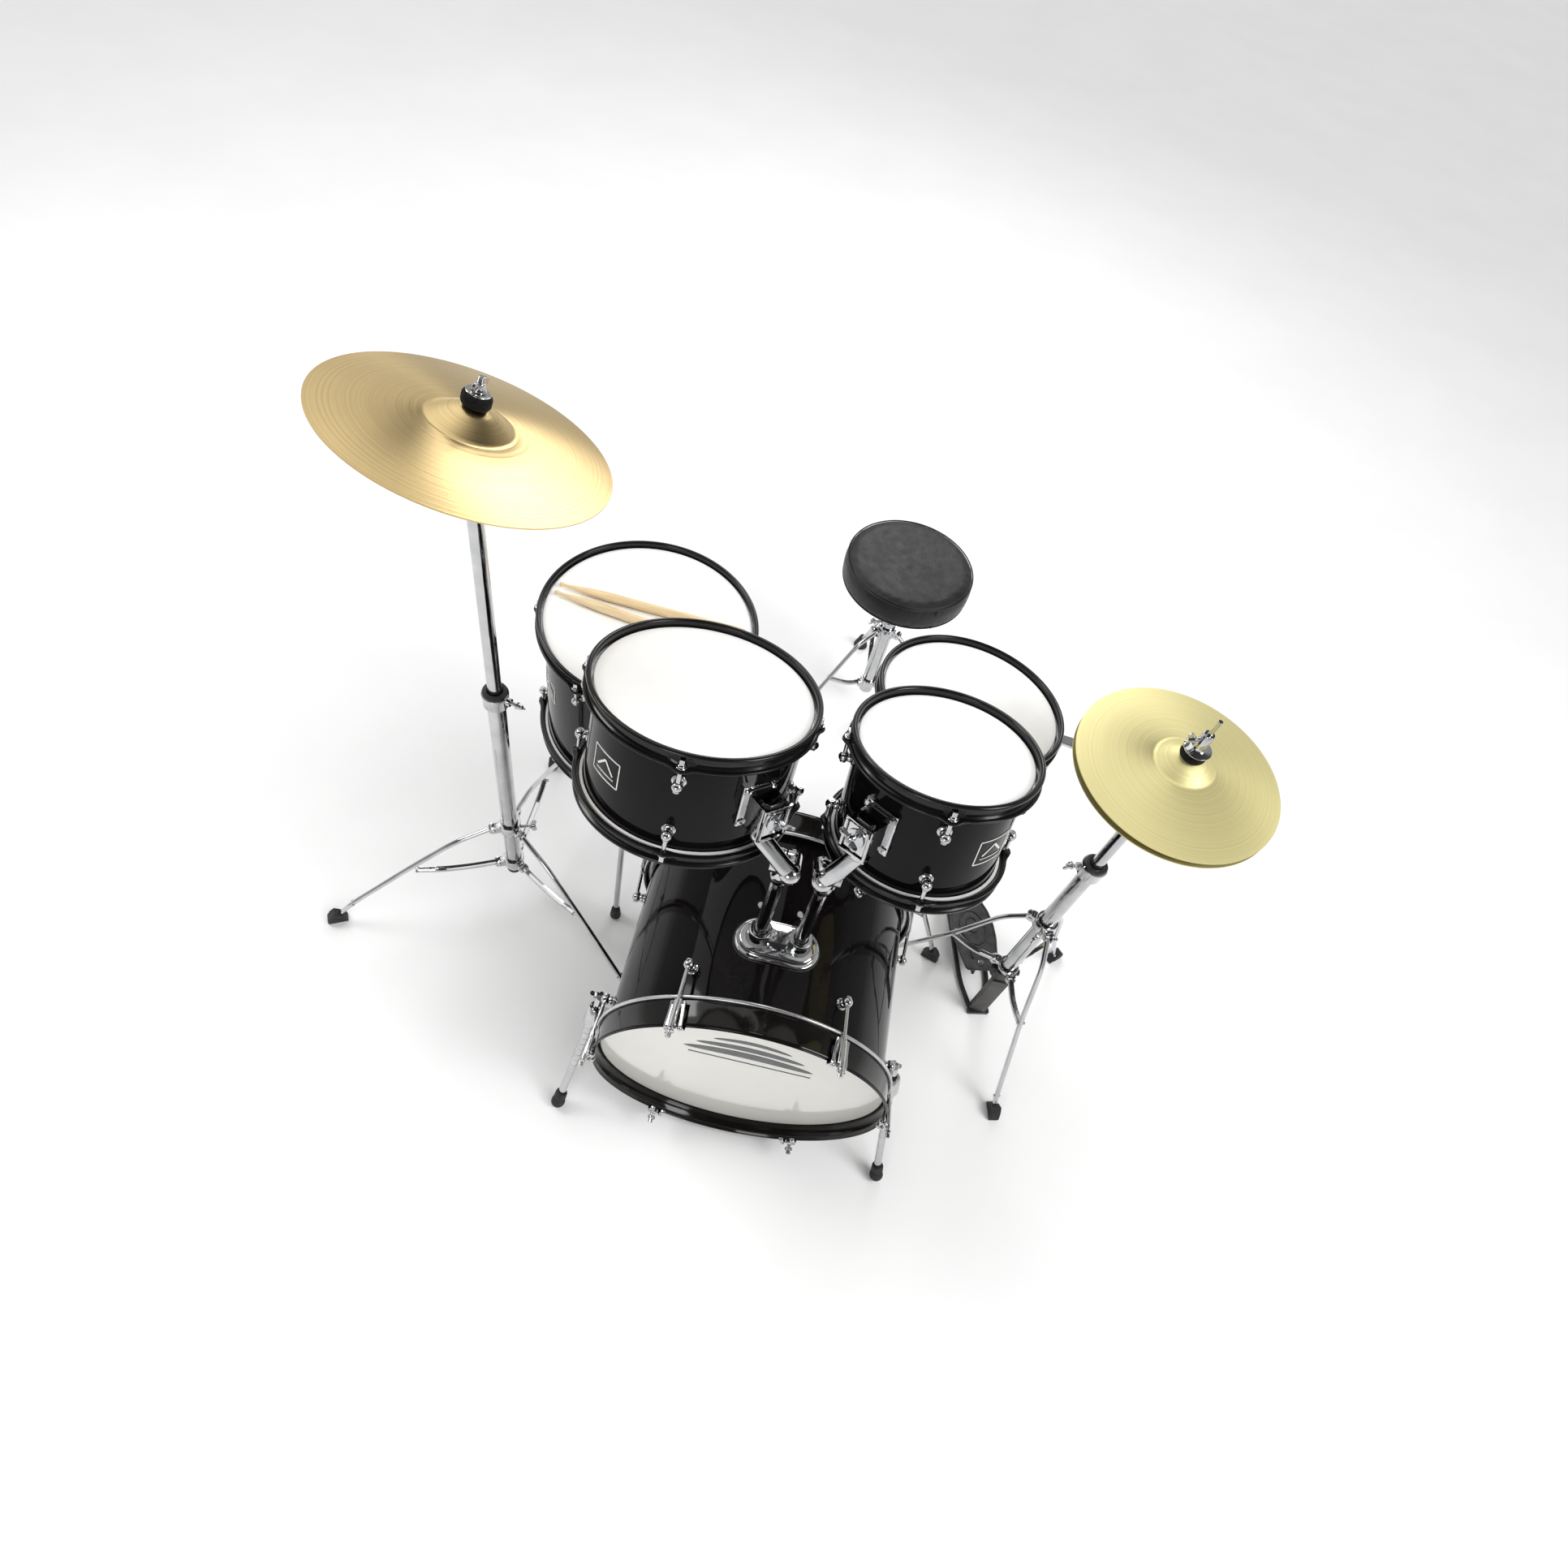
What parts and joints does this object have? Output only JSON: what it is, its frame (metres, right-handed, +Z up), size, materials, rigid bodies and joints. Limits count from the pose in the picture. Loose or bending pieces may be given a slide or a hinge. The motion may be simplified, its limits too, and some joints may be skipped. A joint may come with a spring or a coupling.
{
  "type": "acoustic drum kit",
  "caption": "Compact drum kit with bass drum, mounted toms, floor tom, snare, stand-mounted cymbals and a round stool; feet rest on the floor and the fittings adjust.",
  "frame": {"origin": "middle of the footprint at floor level", "axes": "+Z up, +X to the audience's right with the kit seen from the front, +Y from the front of the bass drum towards the stool"},
  "size_m": [1.3034, 1.1766, 1.0249],
  "materials": {
    "lacquer": "high-gloss black lacquer over wood plies",
    "black_steel": "smooth black powder coat",
    "chrome": "bright polished plating with rubber feet",
    "head_film": "coated off-white film",
    "bronze": "lathed pale gold bronze",
    "vinyl": "grained black vinyl over foam",
    "stick_wood": "satin natural wood"
  },
  "bodies": {
    "kit": {"bass_shell": "lacquer", "bass_hoop_front": "black_steel", "bass_hoop_rear": "black_steel", "bass_head_front": "head_film", "bass_head_batter": "head_film", "tom_mount_plate": "chrome", "bass_pedal_frame": "black_steel", "floor_tom_shell": "lacquer", "floor_tom_hoop_top": "black_steel", "floor_tom_hoop_bottom": "black_steel", "floor_tom_head": "head_film", "snare_stand_tripod": "chrome", "crash_base_tube": "chrome", "hihat_base": "chrome", "hihat_tripod": "chrome", "throne_tripod": "chrome"},
    "spur_left": {"spur_left": "chrome"},
    "spur_right": {"spur_right": "chrome"},
    "tom_left_post": {"tom_high_left_post": "chrome"},
    "tom_left": {"tom_high_left_arm": "chrome", "tom_high_left_shell": "lacquer", "tom_high_left_hoop_top": "black_steel", "tom_high_left_hoop_bottom": "black_steel", "tom_high_left_head": "head_film"},
    "tom_right_post": {"tom_high_right_post": "chrome"},
    "tom_right": {"tom_high_right_arm": "chrome", "tom_high_right_shell": "lacquer", "tom_high_right_hoop_top": "black_steel", "tom_high_right_hoop_bottom": "black_steel", "tom_high_right_head": "head_film"},
    "floor_leg_1": {"floor_tom_leg_1": "chrome"},
    "floor_leg_2": {"floor_tom_leg_2": "chrome"},
    "floor_leg_3": {"floor_tom_leg_3": "chrome"},
    "stick_left": {"drumstick_left": "stick_wood"},
    "stick_right": {"drumstick_right": "stick_wood"},
    "snare_basket": {"snare_basket": "chrome"},
    "snare": {"snare_shell": "lacquer", "snare_hoop_top": "black_steel", "snare_hoop_bottom": "black_steel", "snare_head": "head_film"},
    "snare_throw_off": {"snare_throw_off": "chrome"},
    "crash_collar": {"crash_leg_collar": "chrome"},
    "crash_leg_1": {"crash_leg_1": "chrome"},
    "crash_brace_1": {"crash_brace_1": "chrome"},
    "crash_leg_2": {"crash_leg_2": "chrome"},
    "crash_brace_2": {"crash_brace_2": "chrome"},
    "crash_leg_3": {"crash_leg_3": "chrome"},
    "crash_brace_3": {"crash_brace_3": "chrome"},
    "crash_upper": {"crash_upper_tube": "chrome"},
    "crash_tilter": {"crash_tilter": "chrome"},
    "crash_cymbal": {"crash_cymbal": "bronze"},
    "hihat_upper": {"hihat_upper_tube": "chrome", "hihat_bottom_cymbal": "bronze"},
    "hihat_rod": {"hihat_pull_rod": "chrome", "hihat_top_cymbal": "bronze"},
    "hihat_footboard": {"hihat_footboard": "black_steel"},
    "pedal_footboard": {"bass_pedal_footboard": "black_steel"},
    "pedal_beater": {"bass_pedal_beater": "chrome"},
    "throne_post": {"throne_post": "chrome"},
    "throne_seat": {"throne_seat": "vinyl"}
  },
  "joints": [
    {"name": "spur_left_slide", "type": "slide", "parent": "kit", "child": "spur_left", "axis": [0.1541, 0.4367, 0.8863], "range_m": [0, 0.06]},
    {"name": "spur_right_slide", "type": "slide", "parent": "kit", "child": "spur_right", "axis": [-0.1541, 0.4367, 0.8863], "range_m": [0, 0.06]},
    {"name": "tom_left_height", "type": "slide", "parent": "kit", "child": "tom_left_post", "axis": [0, 0, 1], "range_m": [-0.04, 0.05]},
    {"name": "tom_left_tilt", "type": "hinge", "parent": "tom_left_post", "child": "tom_left", "pos_m": [0.05229, -0.43026, 0.647], "axis": [1, 0, 0], "range_deg": [-15, 15]},
    {"name": "tom_right_height", "type": "slide", "parent": "kit", "child": "tom_right_post", "axis": [0, 0, 1], "range_m": [-0.04, 0.05]},
    {"name": "tom_right_tilt", "type": "hinge", "parent": "tom_right_post", "child": "tom_right", "pos_m": [0.10629, -0.43026, 0.647], "axis": [1, 0, 0], "range_deg": [-15, 15]},
    {"name": "floor_leg_1_slide", "type": "slide", "parent": "kit", "child": "floor_leg_1", "axis": [0, 0, 1], "range_m": [0, 0.05]},
    {"name": "floor_leg_2_slide", "type": "slide", "parent": "kit", "child": "floor_leg_2", "axis": [0, 0, 1], "range_m": [0, 0.05]},
    {"name": "floor_leg_3_slide", "type": "slide", "parent": "kit", "child": "floor_leg_3", "axis": [0, 0, 1], "range_m": [0, 0.05]},
    {"name": "stick_left_lift", "type": "slide", "parent": "kit", "child": "stick_left", "axis": [0, 0, 1], "range_m": [0, 0.15]},
    {"name": "stick_right_lift", "type": "slide", "parent": "kit", "child": "stick_right", "axis": [0, 0, 1], "range_m": [0, 0.15]},
    {"name": "snare_basket_tilt", "type": "hinge", "parent": "kit", "child": "snare_basket", "pos_m": [0.25529, -0.11726, 0.452], "axis": [1, 0, 0], "range_deg": [-12, 12]},
    {"name": "snare_lift", "type": "slide", "parent": "snare_basket", "child": "snare", "axis": [0.04, 0.15, 0.9879], "range_m": [0, 0.12]},
    {"name": "snare_throw_off_lever", "type": "hinge", "parent": "snare", "child": "snare_throw_off", "pos_m": [0.39843, -0.11796, 0.55113], "axis": [0.0841, 0.9847, -0.1529], "range_deg": [0, 75]},
    {"name": "crash_collar_slide", "type": "slide", "parent": "kit", "child": "crash_collar", "axis": [0, 0, 1], "range_m": [0, 0.12]},
    {"name": "crash_leg_1_fold", "type": "hinge", "parent": "crash_collar", "child": "crash_leg_1", "pos_m": [-0.40073, -0.23722, 0.206], "axis": [0.4695, -0.8829, 0], "range_deg": [-0.5, 24.64]},
    {"name": "crash_brace_1_fold", "type": "hinge", "parent": "kit", "child": "crash_brace_1", "pos_m": [-0.39367, -0.23347, 0.096], "axis": [0.4695, -0.8829, 0], "range_deg": [-37.9, 0.5]},
    {"name": "crash_leg_2_fold", "type": "hinge", "parent": "crash_collar", "child": "crash_leg_2", "pos_m": [-0.34188, -0.23928, 0.206], "axis": [0.5299, 0.848, 0], "range_deg": [-0.5, 24.64]},
    {"name": "crash_brace_2_fold", "type": "hinge", "parent": "kit", "child": "crash_brace_2", "pos_m": [-0.34866, -0.23504, 0.096], "axis": [0.5299, 0.848, 0], "range_deg": [-37.9, 0.5]},
    {"name": "crash_leg_3_fold", "type": "hinge", "parent": "crash_collar", "child": "crash_leg_3", "pos_m": [-0.36952, -0.18728, 0.206], "axis": [-0.9994, 0.0349, 0], "range_deg": [-0.5, 24.64]},
    {"name": "crash_brace_3_fold", "type": "hinge", "parent": "kit", "child": "crash_brace_3", "pos_m": [-0.3698, -0.19528, 0.096], "axis": [-0.9994, 0.0349, 0], "range_deg": [-37.9, 0.5]},
    {"name": "crash_height", "type": "slide", "parent": "kit", "child": "crash_upper", "axis": [0, 0, 1], "range_m": [-0.08, 0.05]},
    {"name": "crash_tilt", "type": "hinge", "parent": "crash_upper", "child": "crash_tilter", "pos_m": [-0.37071, -0.22126, 0.955], "axis": [-0.7396, 0.673, 0], "range_deg": [-15, 25]},
    {"name": "crash_cymbal_spin", "type": "hinge", "parent": "crash_tilter", "child": "crash_cymbal", "pos_m": [-0.37071, -0.22126, 0.955], "axis": [0.2247, 0.2469, 0.9426], "continuous": true},
    {"name": "hihat_height", "type": "slide", "parent": "kit", "child": "hihat_upper", "axis": [0, 0, 1], "range_m": [-0.06, 0.05]},
    {"name": "hihat_footboard_press", "type": "hinge", "parent": "kit", "child": "hihat_footboard", "pos_m": [0.44289, -0.01424, 0.02], "axis": [0.9781, 0.2079, 0], "range_deg": [0, 2], "stiffness_Nm_per_rad": 10, "springref_deg": -28.65},
    {"name": "hihat_rod_pull", "type": "slide", "parent": "hihat_upper", "child": "hihat_rod", "axis": [0, 0, -1], "range_m": [-0.0005, 0.0072]},
    {"name": "pedal_footboard_press", "type": "hinge", "parent": "kit", "child": "pedal_footboard", "pos_m": [0.07929, 0.00874, 0.024], "axis": [1, 0, 0], "range_deg": [0, 6.5], "stiffness_Nm_per_rad": 6, "springref_deg": -22.92},
    {"name": "pedal_beater_swing", "type": "hinge", "parent": "kit", "child": "pedal_beater", "pos_m": [0.07929, -0.20126, 0.128], "axis": [1, 0, 0], "range_deg": [-0.5, 19]},
    {"name": "throne_height", "type": "slide", "parent": "kit", "child": "throne_post", "axis": [0, 0, 1], "range_m": [0, 0.08]},
    {"name": "throne_seat_spin", "type": "hinge", "parent": "throne_post", "child": "throne_seat", "pos_m": [0.18629, 0.39474, 0.38], "axis": [0, 0, 1], "continuous": true}
  ],
  "couplings": [
    {"joint": "crash_leg_1_fold", "follows": "crash_collar_slide", "rad_per_m": 3.5114},
    {"joint": "crash_brace_1_fold", "follows": "crash_collar_slide", "rad_per_m": -5.4401},
    {"joint": "crash_leg_2_fold", "follows": "crash_collar_slide", "rad_per_m": 3.5114},
    {"joint": "crash_brace_2_fold", "follows": "crash_collar_slide", "rad_per_m": -5.4401},
    {"joint": "crash_leg_3_fold", "follows": "crash_collar_slide", "rad_per_m": 3.5114},
    {"joint": "crash_brace_3_fold", "follows": "crash_collar_slide", "rad_per_m": -5.4401},
    {"joint": "hihat_rod_pull", "follows": "hihat_footboard_press", "m_per_rad": 0.19},
    {"joint": "pedal_beater_swing", "follows": "pedal_footboard_press", "ratio": 2.8462}
  ]
}
